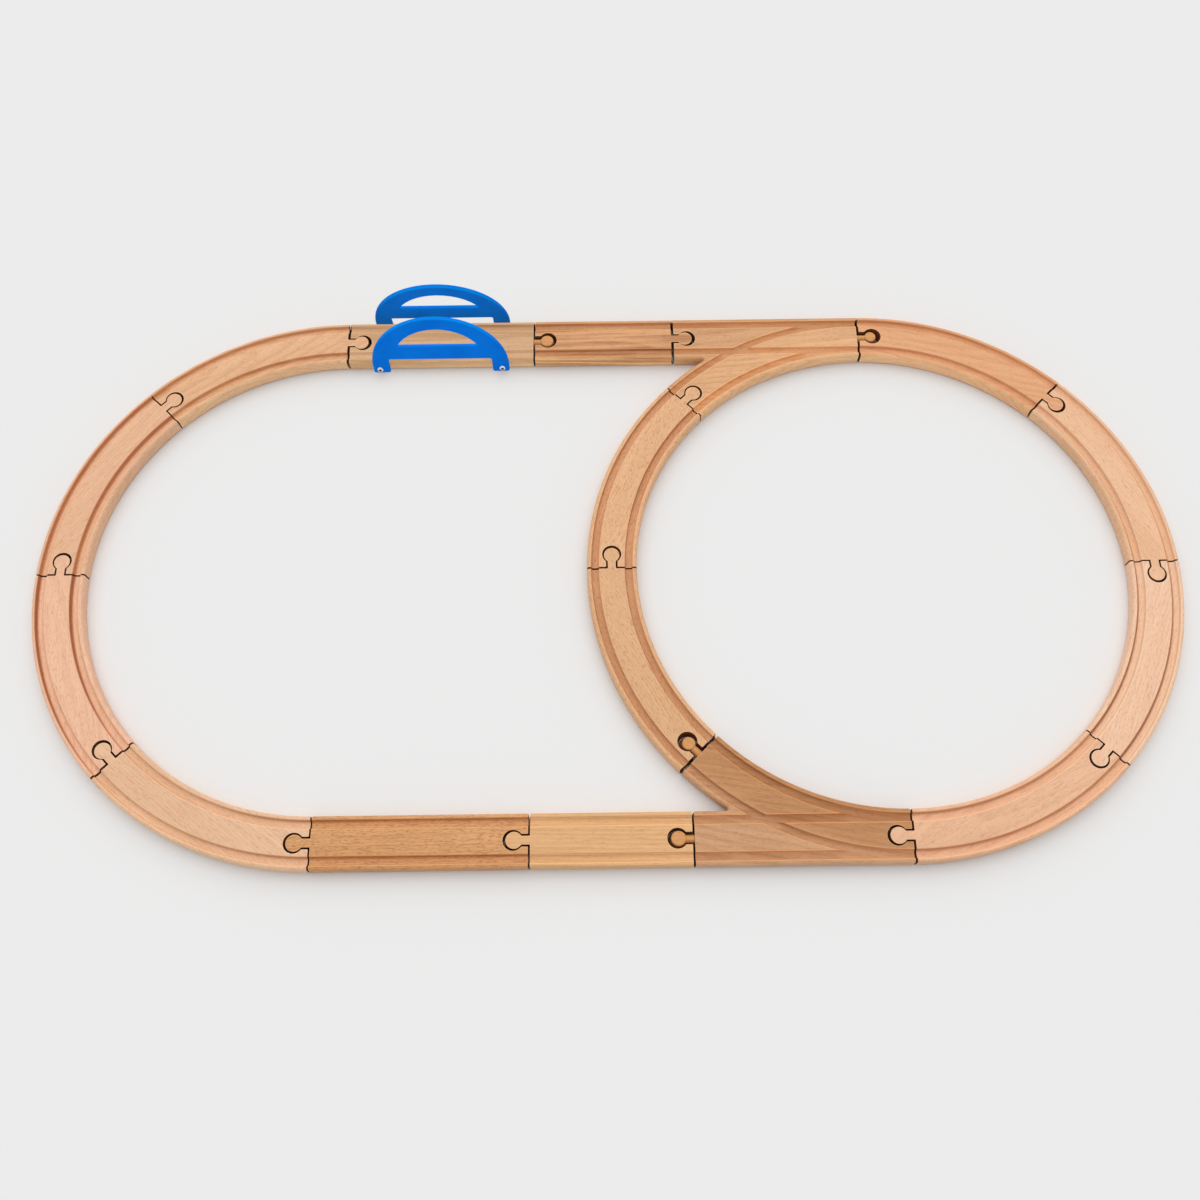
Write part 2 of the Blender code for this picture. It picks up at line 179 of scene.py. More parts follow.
def scaled(colour, gain):
    palest = 0.95
    return [min(channel * gain, palest) for channel in colour]


# beech: growth rings about a heart line, long fibres, hair lines, and the short dark flecks of its rays
beech = {
    "sway": {"waves": (26, 50), "detail": 1.0},
    "wander": {"waves": (9, 38), "detail": 2.0},
    "broad": {"waves": (4, 30), "detail": 1.0, "span": (0.30, 0.70)},
    "fibre": {"waves": (26, 900), "detail": 3.0, "rough": 0.6},
    "pale": {"waves": (5, 230), "detail": 2.0, "span": (0.54, 0.72)},
    "hair": {"waves": (70, 1500), "detail": 1.0, "span": (0.54, 0.74)},
    "fleck": {"waves": (290, 1750), "detail": 0.0},
    "fleckFade": 0.08,
    "streakAlong": 6,
    "streakDetail": 2.0,
    "ringRise": (0.25, 0.88),  # late wood darkens slowly over a ring, then ends at once
    "ringFall": (0.92, 1.0),
    "fibreShare": 0.6,
    "paleGain": 1.10,
    "border": (5 * mm, 15 * mm),  # where the tone outside a switch's branch sets in, and how ragged it is
    "borderRagged": 8 * mm,
    "bedDepth": (0.4 * mm, 1.8 * mm),  # of groove floors, burnished by the cutter
    "bedShare": 0.75,
    "bedVary": 0.4,
    "bedShine": 0.06,
    # painted highlight on lips, rims and walls facing the light, painted shade on walls turned from it, and
    # ends darkened as end grain and as painted shade in the gaps
    "lipDepth": (0.25 * mm, 0.7 * mm),
    "lipShare": 0.5,
    "rimShare": 0.7,
    "litWall": (0.1, 0.7),
    "litShare": 0.5,
    "shadeWall": (0.0, 0.5),
    "gapShadeAndEndGrain": (0.28, 0.19, 0.13),
    "roughness": 0.52,
    "roughVary": 0.2,
    "specular": 0.30,
    "bumpDepth": 0.12 * mm,
    "bumpStrength": 0.35,
    "relief": {"fibre": 0.6, "fleck": 0.4, "hair": 0.3, "ring": 0.25},
}


def beechMaterial(name, look, centre):
    made, start, shader = newMaterial(name)
    place = start.node("TexCoord", None, None, "Object")
    turn = (0, math.radians(look["tilt"]), math.radians(look["grain"]))
    plank = start.node("Mapping", {"vector_type": "TEXTURE"},
                       {"Vector": place, "Location": (*centre[:2], thickness), "Rotation": turn})
    along, across, height = plank.parts()
    # the grain sways a little from side to side along the plank
    across = across + plank.pattern(**beech["sway"]).centred() * look["sway"] * mm
    grain = start.node("CombineXYZ", None, {0: along + look["seed"], 1: across, 2: height})
    offY = across - look["heart"][0] * mm
    offZ = height - look["heart"][1] * mm
    wander = grain.pattern(**beech["wander"]).centred() * look["wander"] * mm
    reach = start.math("SQRT", offY * offY + offZ * offZ) + wander
    part = start.math("FRACT", reach / (look["ring"] * mm))
    ring = part.ramp(*beech["ringRise"]) * (1 - part.ramp(*beech["ringFall"]))
    broad = grain.pattern(**beech["broad"])
    fibre = grain.pattern(**beech["fibre"])
    streak = grain.pattern((beech["streakAlong"], look["streakFine"]), beech["streakDetail"])
    pale = grain.pattern(**beech["pale"])
    hair = grain.pattern(**beech["hair"])
    fleck = grain.pattern(**beech["fleck"]).ramp(look["fleckFrom"], look["fleckFrom"] + beech["fleckFade"])
    share = ring * look["ringShare"] + broad * look["broadShare"] + fibre.centred() * beech["fibreShare"]
    share = share + streak.centred() * look["streakShare"]
    colour = start.paint(look["light"]).toward(look["dark"], share)
    colour = colour.toward(scaled(look["light"], beech["paleGain"]), pale * look["paleShare"])
    colour = colour.toward(look["fleck"], hair * look["hairShare"])
    colour = colour.toward(look["fleck"], fleck * look["fleckShare"])
    if "outside" in look:
        # the wood outside the branch's circle has a tone of its own
        away = start.node("VectorMath", {"operation": "DISTANCE"},
                          {0: place, 1: (*rightCentre[:2], thickness)}, "Value")
        away = away + streak.centred() * beech["borderRagged"]
        low, high = beech["border"]
        colour = colour.toward(look["outside"], away.ramp(radius + low, radius + high), "MULTIPLY")
    # groove floors take a tone of their own with depth, darker on most boards and paler on the bridge, where
    # it is painted light against their shade; lips, rims and walls facing the light get a painted highlight
    inside = middleHeight - start.math("ABSOLUTE", place.parts()[2] - middleHeight)
    cut = start.layer("groove")
    bed = cut * inside.ramp(*beech["bedDepth"])
    lip = cut * (1 - inside.ramp(*beech["lipDepth"]))
    wall = start.layer("wall")
    lit = (0 - wall).ramp(*beech["litWall"])
    paintedHighlight = start.layer("rim") * beech["rimShare"] + lip * beech["lipShare"] + lit * beech["litShare"]
    dull = bed * (beech["bedShare"] + broad * beech["bedVary"])
    colour = colour.toward(look["grooveTone"], dull, "MULTIPLY")
    colour = colour.toward(scaled(look["light"], look["highlightGain"]), paintedHighlight)
    # groove walls turned from the light get a painted tone: painted shade below one, painted light above one
    colour = colour.toward(look["wallLightAndShade"], wall.ramp(*beech["shadeWall"]), "MULTIPLY")
    # faces turned to the front get painted light
    colour = colour.toward(look["frontPaintedLight"], start.layer("front"), "MULTIPLY")
    # ends darkened as end grain, with painted shade in the gaps between boards
    colour = colour.toward(beech["gapShadeAndEndGrain"], start.layer("gapShadeAndEndGrainMask"), "MULTIPLY")
    feed(colour, shader, "Base Color")
    rough = beech["roughness"] + fibre.centred() * beech["roughVary"] - bed * beech["bedShine"]
    feed(rough, shader, "Roughness")
    relief = beech["relief"]
    raised = fibre * relief["fibre"] - fleck * relief["fleck"] - hair * relief["hair"] - ring * relief["ring"]
    emboss(raised, shader, beech)
    shader.inputs["Specular IOR Level"].default_value = beech["specular"]
    return made


def deselect():
    if bpy.context.object and bpy.context.object.mode == "EDIT":
        bpy.ops.object.mode_set(mode="OBJECT")
    bpy.ops.object.select_all(action="DESELECT")


def pickOnly(piece):
    deselect()
    bpy.context.view_layer.objects.active = piece
    piece.select_set(True)


def settle():
    bpy.ops.object.transform_apply(location=True, rotation=True, scale=True)


def putPoint(spot):
    # a tiny plane drawn together to one point
    bpy.ops.mesh.primitive_plane_add(size=slim, location=spot)
    if bpy.context.object.mode == "OBJECT":
        settle()
        bpy.ops.object.mode_set(mode="EDIT")
        bpy.ops.mesh.select_mode(type="VERT")
        bpy.ops.mesh.select_all(action="SELECT")
    bpy.ops.mesh.merge(type="CENTER")


arcs = {"largeFrom": 100 * mm, "large": 1, "small": 9}  # a step of a drawn arc, in degrees


def traceLoop(steps):
    # draws a closed outline: a point is a straight run to it, and a (middle, turn) pair is an arc
    pen = steps[0]
    putPoint(pen)
    for step in [*steps[1:], steps[0]]:
        if isinstance(step, Vector):
            if (step - pen).length < samePoint:
                continue
            bpy.ops.mesh.extrude_vertices_move(TRANSFORM_OT_translate={"value": step - pen})
            pen = step
        else:
            middle, turn = step
            arm = pen - middle
            size = "large" if arm.length > arcs["largeFrom"] else "small"
            count = max(2, round(abs(turn) / math.radians(arcs[size])))
            bpy.ops.mesh.spin(steps=count, angle=-turn, center=middle, axis=(0, 0, 1))
            pen = middle + turned(arm, turn)
    bpy.ops.mesh.select_linked()
    bpy.ops.mesh.remove_doubles(threshold=2 * samePoint)
    bpy.ops.mesh.edge_face_add()


def turned(arm, turn):
    cosine, sine = math.cos(turn), math.sin(turn)
    return Vector((arm.x * cosine - arm.y * sine, arm.x * sine + arm.y * cosine, arm.z))


def onCircle(middle, reach, angle, height=0.0):
    return middle + Vector((reach * math.cos(angle), reach * math.sin(angle), height))


def newPiece(name):
    piece = bpy.context.object
    piece.name = name
    piece.data.name = name
    return piece


def selectEdges(piece, wanted):
    bpy.ops.mesh.select_mode(type="EDGE")
    bpy.ops.mesh.select_all(action="DESELECT")
    mesh = bmesh.from_edit_mesh(piece.data)
    for edge in mesh.edges:
        if wanted(edge):
            edge.select_set(True)
    bmesh.update_edit_mesh(piece.data)


def selectFaces(piece, wanted):
    bpy.ops.mesh.select_mode(type="FACE")
    bpy.ops.mesh.select_all(action="DESELECT")
    mesh = bmesh.from_edit_mesh(piece.data)
    for face in mesh.faces:
        face.select_set(wanted(face))
    bmesh.update_edit_mesh(piece.data)


def isCrisp(edge):
    return edge.is_manifold and edge.calc_face_angle() > crispAngle


def isUnderside(face):
    return face.normal.z < downward


def lowestOf(edge):
    return min(vertex.co.z for vertex in edge.verts)


def drawOut(run):
    bpy.ops.mesh.extrude_region_move(TRANSFORM_OT_translate={"value": run})


def faceOutward():
    bpy.ops.mesh.select_all(action="SELECT")
    bpy.ops.mesh.normals_make_consistent(inside=False)


def applyModifier(piece, kind, **settings):
    pickOnly(piece)
    change = piece.modifiers.new(kind.lower(), kind)
    for name, value in settings.items():
        setattr(change, name, value)
    bpy.ops.object.modifier_apply(modifier=change.name)


def combine(piece, operation, other):
    applyModifier(piece, "BOOLEAN", operation=operation, object=other, solver="EXACT")
    bpy.data.objects.remove(other)


def smoothPiece(piece, angle=38):
    pickOnly(piece)
    bpy.ops.object.shade_smooth_by_angle(angle=math.radians(angle))
    applyModifier(piece, "WEIGHTED_NORMAL", keep_sharp=True)


# knob on one end of a board, and the keyhole socket that takes it; the lowest part closes the joint
joint = {
    "knobRadius": 6.3 * mm,
    "knobNeck": 6.5 * mm,
    "knobReach": 11.8 * mm,
    "clearance": 1.35 * mm,
    "slack": 0.5 * mm,
    "taper": 0.9 * mm,
    "flange": 4.0 * mm,
    "footShare": 0.7,  # of the slack, by which the foot of a knob moves out
}


def endSteps(kind, spot, heading):
    # from the end's right corner to its left, seen looking out of the board
    def at(out, side):
        return spot + turned(Vector((out, side, 0)), heading)

    if kind == "knob":
        half = joint["knobNeck"] / 2
        opening = math.asin(half / joint["knobRadius"])
        meet = joint["knobReach"] - joint["knobRadius"] * math.cos(opening)
        head = (at(joint["knobReach"], 0), 2 * (math.pi - opening))
        return [at(0, -half), at(meet, -half), head, at(0, half)]
    if kind == "socket":
        half = joint["knobNeck"] / 2 + joint["clearance"]
        hollow = joint["knobRadius"] + joint["clearance"]
        depth = joint["knobReach"] - gap + joint["slack"]
        opening = math.asin(half / hollow)
        meet = hollow * math.cos(opening) - depth
        back = (at(-depth, 0), -2 * (math.pi - opening))
        return [at(0, -half), at(meet, -half), back, at(0, half)]
    return []


# rounded long edges, eased ends, the zones in which an end is looked for, and proud corners
boardEdge = {
    "round": 2.3 * mm,
    "steps": 5,
    "rim": 0.45 * mm,
    "rimSteps": 2,
    "lineZone": 2.6 * mm,
    "lineInset": 0.2 * mm,
    "knobZone": 22 * mm,
    "knobHalf": 8 * mm,
    "endSlope": 0.3,
    "postWidth": 3.2 * mm,
}

# the section of a wheel groove; the boards have newer, flatter and more worn ones
groove = {
    "spacing": 27 * mm,
    "half": 3.05 * mm,
    "past": 3 * mm,
    "above": 1.0 * mm,
    "flare": 0.05 * mm,
    "lipTurns": (80, 60, 40, 20, 0),
    "floorTurns": (0, 20, 40, 60, 80, 90),
}
grooveKinds = {
    "round": {"floorHalf": 0.75 * mm, "corner": 2.1 * mm, "lip": 1.0 * mm, "depth": 3.0 * mm},
    "flat": {"floorHalf": 2.2 * mm, "corner": 0.7 * mm, "lip": 0.55 * mm, "depth": 2.9 * mm},
    "soft": {"floorHalf": 0.4 * mm, "corner": 2.0 * mm, "lip": 1.3 * mm, "depth": 1.9 * mm},
}
rimTag, grooveTag, endTag = 1, 2, 3  # material numbers that mark faces until they become layers
shadeSide = Vector((0.84, -0.54, 0))  # away from the light: groove walls turned this way get painted shade, those turned back a painted highlight


def isOnKnob(near):
    return abs(near.x) < boardEdge["knobZone"] and abs(near.y) < boardEdge["knobHalf"]


def isEndSpot(spot, ends):
    for _, place, heading in ends:
        near = turned(Vector(spot) - place, -heading)
        inLine = abs(near.y) < halfWidth - boardEdge["lineInset"]
        if (inLine and abs(near.x) < boardEdge["lineZone"]) or isOnKnob(near):
            return True
    return False


def isLongEdge(edge, ends):
    # lies in the upper or the lower face, and not at an end
    heights = [vertex.co.z for vertex in edge.verts]
    isLevel = max(heights) < slim or min(heights) > thickness - slim
    return isLevel and not isEndSpot((edge.verts[0].co + edge.verts[1].co) / 2, ends)


def makeBoard(name, steps, ends, trims):
    deselect()
    traceLoop(steps)
    piece = newPiece(name)
    addTagSlots(piece)
    for level in (joint["flange"], thickness - joint["flange"]):
        drawOut((0, 0, level))
    faceOutward()
    widenFoot(piece, ends, trims)
    # the long edges are well rounded, top and bottom, and every other sharp edge is only eased
    selectEdges(piece, lambda edge: isLongEdge(edge, ends))
    bpy.ops.mesh.bevel(offset=boardEdge["round"], segments=boardEdge["steps"], affect="EDGES")
    selectEdges(piece, isCrisp)
    bpy.ops.mesh.bevel(offset=boardEdge["rim"], segments=boardEdge["rimSteps"], affect="EDGES",
                       material=rimTag)
    bpy.ops.object.mode_set(mode="OBJECT")
    tagEnds(piece, ends)
    return piece


def widenFoot(piece, ends, trims):
    # knobs and ends widen at the foot, and what was trimmed off comes back there
    taper = joint["taper"]
    head = Vector((joint["knobReach"], 0, 0))
    mesh = bmesh.from_edit_mesh(piece.data)
    low = [vertex for vertex in mesh.verts if vertex.co.z < slim]
    for (kind, place, heading), trim in zip(ends, trims):
        for vertex in low:
            near = turned(vertex.co - place, -heading)
            onLine = abs(near.x) < seam and abs(near.y) < halfWidth + slim
            onNeck = isOnKnob(near)
            besidePost = abs(abs(near.y) - halfWidth + boardEdge["postWidth"]) < slim
            if besidePost or not (onLine or onNeck):
                continue
            grown = near.copy()
            if kind == "knob" and onNeck and near.x > joint["knobNeck"]:
                grown = head + (near - head) * (1 + taper / joint["knobRadius"])
                grown.x += joint["slack"] * joint["footShare"]
            elif kind == "knob" and onNeck:
                grown.y += math.copysign(taper, near.y)
            if onLine and kind in ("knob", "peg"):
                grown.x += taper
            grown.x += trim * mm
            vertex.co = place + turned(grown, heading)
    bmesh.update_edit_mesh(piece.data)


def tagEnds(piece, ends):
    # upright faces of the ends, knobs and sockets are darkened: partly dark end grain, partly painted shade
    # that keeps the gaps between boards dark
    for face in piece.data.polygons:
        if abs(face.normal.z) < boardEdge["endSlope"] and isEndSpot(face.center, ends):
            face.material_index = endTag


def grooveSection(kind, middle, upward):
    # half of the groove's section and its mirror, from one lip down to the floor and up to the other
    lip, corner, depth = kind["lip"], kind["corner"], kind["depth"]
    side = []
    for turn in groove["lipTurns"]:
        swing = math.radians(turn)
        drop = min(lip, depth / 2) * (1 - math.sin(swing))
        side.append((groove["half"] + lip * (1 - math.cos(swing)), drop))
    for turn in groove["floorTurns"]:
        swing = math.radians(turn)
        drop = depth - min(corner, depth / 2) * (1 - math.sin(swing))
        side.append((kind["floorHalf"] + corner * math.cos(swing), drop))
    top = (side[0][0] + groove["flare"], -groove["above"])
    outline = [top, *side]
    outline += [(-across, drop) for across, drop in reversed(outline)]
    level = thickness if upward else 0.0
    sign = -1 if upward else 1
    return [(middle + across, level + sign * drop) for across, drop in outline]


def grooveSections(kind, bothFaces):
    for upward in ((True, False) if bothFaces else (True,)):
        for side in (-1, 1):
            yield grooveSection(grooveKinds[kind], side * groove["spacing"] / 2, upward)


def addTagSlots(piece):
    for _ in range(endTag + 1):
        piece.data.materials.append(None)


def tagAll(piece, tag):
    addTagSlots(piece)
    for face in piece.data.polygons:
        face.material_index = tag


def straightGrooves(kind, left, right, rowY, bothFaces):
    deselect()
    for section in grooveSections(kind, bothFaces):
        traceLoop([Vector((left - groove["past"], rowY + across, height)) for across, height in section])
    cutter = newPiece("groove_cutter")
    bpy.ops.mesh.select_all(action="SELECT")
    drawOut((right - left + 2 * groove["past"], 0, 0))
    return closeCutter(cutter)


def curvedGrooves(kind, middle, start, stop, bothFaces):
    deselect()
    past = groove["past"] / radius
    for section in grooveSections(kind, bothFaces):
        traceLoop([onCircle(middle, radius + across, start - past, height) for across, height in section])
    cutter = newPiece("groove_cutter")
    bpy.ops.mesh.select_all(action="SELECT")
    turn = stop - start + 2 * past
    bpy.ops.mesh.spin(steps=round(math.degrees(turn)), angle=-turn, center=middle, axis=(0, 0, 1))
    return closeCutter(cutter)


def closeCutter(cutter):
    faceOutward()
    bpy.ops.object.mode_set(mode="OBJECT")
    tagAll(cutter, grooveTag)
    return cutter


def addLayer(piece, label, valueOf):
    values = [float(valueOf(face)) for face in piece.data.polygons]
    layer = piece.data.attributes.new(label, "FLOAT", "FACE")
    layer.data.foreach_set("value", values)


def wallShade(face):
    # groove walls: positive where they are turned from the light, negative where they face it; the material
    # paints shade on the first and a highlight on the second
    return face.normal.dot(shadeSide) if face.material_index == grooveTag else 0


def frontLightShare(face):
    # how far a face is turned to the front, where the material paints extra light; those of grooves and ends
    # stay out of it
    return 0 if face.material_index in (grooveTag, endTag) else max(-face.normal.y, 0)


def tagsToLayers(piece):
    # the tags become layers that the materials read
    addLayer(piece, "rim", lambda face: face.material_index == rimTag)
    addLayer(piece, "groove", lambda face: face.material_index == grooveTag)
    addLayer(piece, "gapShadeAndEndGrainMask", lambda face: face.material_index == endTag)
    addLayer(piece, "wall", wallShade)
    addLayer(piece, "front", frontLightShare)
    for face in piece.data.polygons:
        face.material_index = 0


def finishPiece(piece, material, node, body, slot):
    piece.data.materials.clear()
    piece.data.materials.append(material)
    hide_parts(node)
    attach(piece, body)


def finishBoard(piece, look, centre):
    tagsToLayers(piece)
    smoothPiece(piece)
    node = look["node"]
    material = beechMaterial(node + "_beech", look, centre)
    finishPiece(piece, material, node, look.get("body", node), look["slot"])
    print("board", node, len(piece.data.polygons), "faces")


# where each board lies along an endless plank: the first of its kind, and the step to the next, in metres
seeds = {"curve": (0.0, 0.31), "straight": (5.3, 0.37), "switch": (9.1, 0.41), "peg": (13.7, 0.9)}


def seedOf(kind, number):
    first, step = seeds[kind]
    return first + step * number


# pinkish tan curves, cut from plain planks, so their straight grain crosses the arc
# trim, post, wander, sway, heart and ring are in millimetres on every board, grain and tilt in degrees
# wall and front tones are painted light and shade, and the highlight gain sets how pale the painted
# highlights are
curveGrain = {
    "slot": "tan_beech", "groove": "round", "trim": (0, 0), "post": 0, "wander": 5.0, "sway": 1.5,
    "grooveTone": (1.0, 0.97, 0.94), "wallLightAndShade": (0.50, 0.30, 0.20), "frontPaintedLight": (1.08, 1.12, 1.1),
    "highlightGain": 1.16, "broadShare": 0.22, "streakShare": 0.5, "streakFine": 150, "paleShare": 0.4,
    "hairShare": 0.26, "fleckFrom": 0.63, "fleckShare": 0.36, "fleck": (0.46, 0.20, 0.085),
}
innerGrain = {
    "groove": "flat", "grooveTone": (0.82, 0.69, 0.58), "wallLightAndShade": (0.9, 0.84, 0.78),
    "fleckFrom": 0.61, "fleckShare": 0.6,
}
curveBoards = [
    {"node": "left_curve_1", "middle": leftCentre, "place": 2, "trim": (1.0, 0), "grain": 24, "tilt": 6,
     "light": (0.816, 0.479, 0.27), "dark": (0.632, 0.326, 0.157),
     "heart": (6, -30), "ring": 3.4, "ringShare": 0.38,
     "wallLightAndShade": (0.84, 0.72, 0.62), "frontPaintedLight": (1.2, 1.3, 1.3)},
    {"node": "left_curve_2", "middle": leftCentre, "place": 3, "post": 0.9, "grain": 54, "tilt": 1.5,
     "light": (0.832, 0.494, 0.305), "dark": (0.655, 0.343, 0.19),
     "heart": (60, -25), "ring": 2.6, "ringShare": 0.22, "wallLightAndShade": (0.68, 0.48, 0.36)},
    {"node": "left_curve_3", "middle": leftCentre, "place": 4, "trim": (0.2, 0.5), "grain": -78, "tilt": -4,
     "light": (0.871, 0.52, 0.343), "dark": (0.693, 0.364, 0.213),
     "heart": (-10, -35), "ring": 3.2, "ringShare": 0.24},
    {"node": "left_curve_4", "middle": leftCentre, "place": 5, "grain": -38, "tilt": 1,
     "light": (0.822, 0.52, 0.324), "dark": (0.655, 0.362, 0.196),
     "heart": (-80, -20), "ring": 2.4, "ringShare": 0.22, "wallLightAndShade": (0.76, 0.61, 0.50)},
    {"node": "right_curve_1", "middle": rightCentre, "place": 1, "trim": (0.5, 0.8), "post": 1.4,
     "grain": -18, "tilt": 3, "light": (0.796, 0.407, 0.205), "dark": (0.612, 0.276, 0.112),
     "heart": (20, -40), "ring": 4.0, "ringShare": 0.34,
     "wallLightAndShade": (0.90, 0.82, 0.75), "frontPaintedLight": (1.32, 1.52, 1.62)},
    {"node": "right_curve_2", "middle": rightCentre, "place": 0, "grain": -58, "tilt": 1,
     "light": (0.871, 0.53, 0.323), "dark": (0.693, 0.367, 0.192),
     "heart": (90, -20), "ring": 2.6, "ringShare": 0.2, "wallLightAndShade": (0.62, 0.43, 0.33)},
    {"node": "right_curve_3", "middle": rightCentre, "place": -1, "grain": 66, "tilt": 1.5,
     "light": (0.906, 0.583, 0.392), "dark": (0.742, 0.424, 0.249),
     "heart": (-70, -30), "ring": 2.8, "ringShare": 0.2, "wallLightAndShade": (0.50, 0.32, 0.24)},
    {"node": "right_curve_4", "middle": rightCentre, "place": -2, "trim": (0.4, 0), "grain": 30, "tilt": -3,
     "light": (0.84, 0.499, 0.31), "dark": (0.662, 0.347, 0.189),
     "heart": (15, -40), "ring": 3.0, "ringShare": 0.24,
     "wallLightAndShade": (0.80, 0.67, 0.58), "frontPaintedLight": (0.95, 0.96, 0.9)},
    {**innerGrain, "node": "inner_curve_1", "middle": rightCentre, "place": 3, "grain": 68, "tilt": 1,
     "light": (0.811, 0.469, 0.255), "dark": (0.634, 0.324, 0.147),
     "heart": (70, -25), "ring": 2.4, "ringShare": 0.22},
    {**innerGrain, "node": "inner_curve_2", "middle": rightCentre, "place": 4, "trim": (0.2, 1.1),
     "grain": -60, "tilt": 1.5, "light": (0.772, 0.452, 0.243), "dark": (0.604, 0.31, 0.139),
     "heart": (-60, -22), "ring": 2.2, "ringShare": 0.26},
]

for number, board in enumerate(curveBoards):
    look = {**curveGrain, **board, "seed": seedOf("curve", number)}
    middle = look["middle"]
    startTrim, stopTrim, post = [cut * mm / radius for cut in (*look["trim"], look["post"])]
    start = look["place"] * eighth + gapAngle + startTrim
    stop = (look["place"] + 1) * eighth - gapAngle - stopTrim
    ends = [
        ("socket", onCircle(middle, radius, stop), stop + quarter),
        ("knob", onCircle(middle, radius, start), start - quarter),
    ]
    outer, inner = radius + halfWidth, radius - halfWidth
    steps = [
        onCircle(middle, outer - boardEdge["postWidth"], start),
        onCircle(middle, outer - boardEdge["postWidth"], start - post),
        onCircle(middle, outer, start - post),
        (middle, stop - start + post),
        *endSteps(*ends[0]),
        onCircle(middle, inner, stop),
        (middle, start - stop),
        *endSteps(*ends[1]),
    ]
    piece = makeBoard(look["node"] + "_board", steps, ends, reversed(look["trim"]))
    combine(piece, "DIFFERENCE", curvedGrooves(look["groove"], middle, start, stop, True))
    finishBoard(piece, look, onCircle(middle, radius, (start + stop) / 2))


def backEdge(left, right, edgeY, posts):
    # the far row's ends stand a little proud at the back corner, so that they meet there
    inY = edgeY - boardEdge["postWidth"]
    leftPost, rightPost = [post * mm for post in posts]
    corners = [Vector((right + rightPost, edgeY, 0)), Vector((left - leftPost, edgeY, 0))]
    if rightPost > 0:
        corners = [Vector((right, inY, 0)), Vector((right + rightPost, inY, 0)), *corners]
    if leftPost > 0:
        corners += [Vector((left - leftPost, inY, 0)), Vector((left, inY, 0))]
    return corners


# straight boards, their grain running along the rows
# as on the curves, wall and front tones are painted light and shade
rowGrain = {
    "groove": "round", "trim": (0, 0), "posts": (0, 0), "wander": 4.0, "sway": 1.5,
    "grooveTone": (0.95, 0.90, 0.85), "wallLightAndShade": (0.92, 0.85, 0.79), "frontPaintedLight": (1.0, 1.0, 1.0),
    "highlightGain": 1.16, "broadShare": 0.25, "streakShare": 0.7, "streakFine": 150, "paleShare": 0.5,
    "hairShare": 0.3, "fleckFrom": 0.64, "fleckShare": 0.34,
}
straightBoards = [
    {"node": "near_long_straight", "slot": "brown_beech", "x": longX, "row": rowNear, "length": longLength,
     "ends": ("knob", "socket"), "bothFaces": True, "grain": 0.5, "tilt": 0.4, "sway": 3.0,
     "light": (0.706, 0.366, 0.158), "dark": (0.519, 0.228, 0.0765), "fleck": (0.36, 0.125, 0.03),
     "heart": (70, -40), "ring": 2.2, "ringShare": 0.3, "fleckFrom": 0.58, "fleckShare": 0.55,
     "hairShare": 0.45, "grooveTone": (1.0, 0.97, 0.95), "wallLightAndShade": (0.82, 0.70, 0.60)},
    {"node": "near_short_straight", "slot": "pale_beech", "x": 0.0, "row": rowNear, "length": shortLength,
     "ends": ("knob", "socket"), "bothFaces": True, "trim": (0.2, 0.3), "groove": "soft",
     "grain": -0.8, "tilt": 0.6,
     "light": (0.79, 0.465, 0.225), "dark": (0.61, 0.315, 0.125), "fleck": (0.48, 0.20, 0.065),
     "heart": (-60, -35), "ring": 2.8, "ringShare": 0.3, "streakShare": 1.0,
     "grooveTone": (0.97, 0.94, 0.91), "wallLightAndShade": (1.0, 0.97, 0.94)},
    {"node": "far_short_straight", "slot": "red_beech", "x": 0.0, "row": rowFar, "length": shortLength,
     "ends": ("socket", "knob"), "bothFaces": True, "trim": (0.3, 1.1), "grain": 1.2, "tilt": 1.6,
     "wander": 6.0, "light": (0.71, 0.37, 0.172), "dark": (0.36, 0.13, 0.042), "fleck": (0.34, 0.12, 0.04),
     "heart": (-14, -26), "ring": 4.0, "ringShare": 0.35, "streakShare": 2.4, "streakFine": 330,
     "frontPaintedLight": (1.55, 1.8, 1.85)},
    {"node": "bridge_track", "slot": "pale_beech", "body": "bridge", "x": longX, "row": rowFar,
     "length": longLength, "ends": ("socket", "peg"), "bothFaces": False, "posts": (1.3, 1.1),
     "groove": "soft", "grain": -2.0, "tilt": 1.4,
     "light": (0.70, 0.43, 0.235), "dark": (0.47, 0.245, 0.11), "fleck": (0.42, 0.20, 0.08),
     "heart": (10, -34), "ring": 9.0, "ringShare": 0.5, "streakShare": 1.5,
     # the bridge's groove floors are lightened, as painted light against their shade
     "grooveTone": (1.05, 1.06, 1.07), "wallLightAndShade": (1.0, 1.0, 1.0), "frontPaintedLight": (1.38, 1.45, 1.42)},
]

for number, board in enumerate(straightBoards):
    look = {**rowGrain, **board, "seed": seedOf("straight", number)}
    left = look["x"] - look["length"] / 2 + look["trim"][0] * mm
    right = look["x"] + look["length"] / 2 - look["trim"][1] * mm
    rowY = look["row"]
    leftEnd, rightEnd = look["ends"]
    ends = [
        (rightEnd, Vector((right, rowY, 0)), 0.0),
        (leftEnd, Vector((left, rowY, 0)), math.pi),
    ]
    steps = [
        Vector((right, rowY - halfWidth, 0)),
        *endSteps(*ends[0]),
        *backEdge(left, right, rowY + halfWidth, look["posts"]),
        *endSteps(*ends[1]),
        Vector((left, rowY - halfWidth, 0)),
    ]
    piece = makeBoard(look["node"] + "_board", steps, ends, reversed(look["trim"]))
    combine(piece, "DIFFERENCE", straightGrooves(look["groove"], left, right, rowY, look["bothFaces"]))
    finishBoard(piece, look, Vector((look["x"], rowY, 0)))

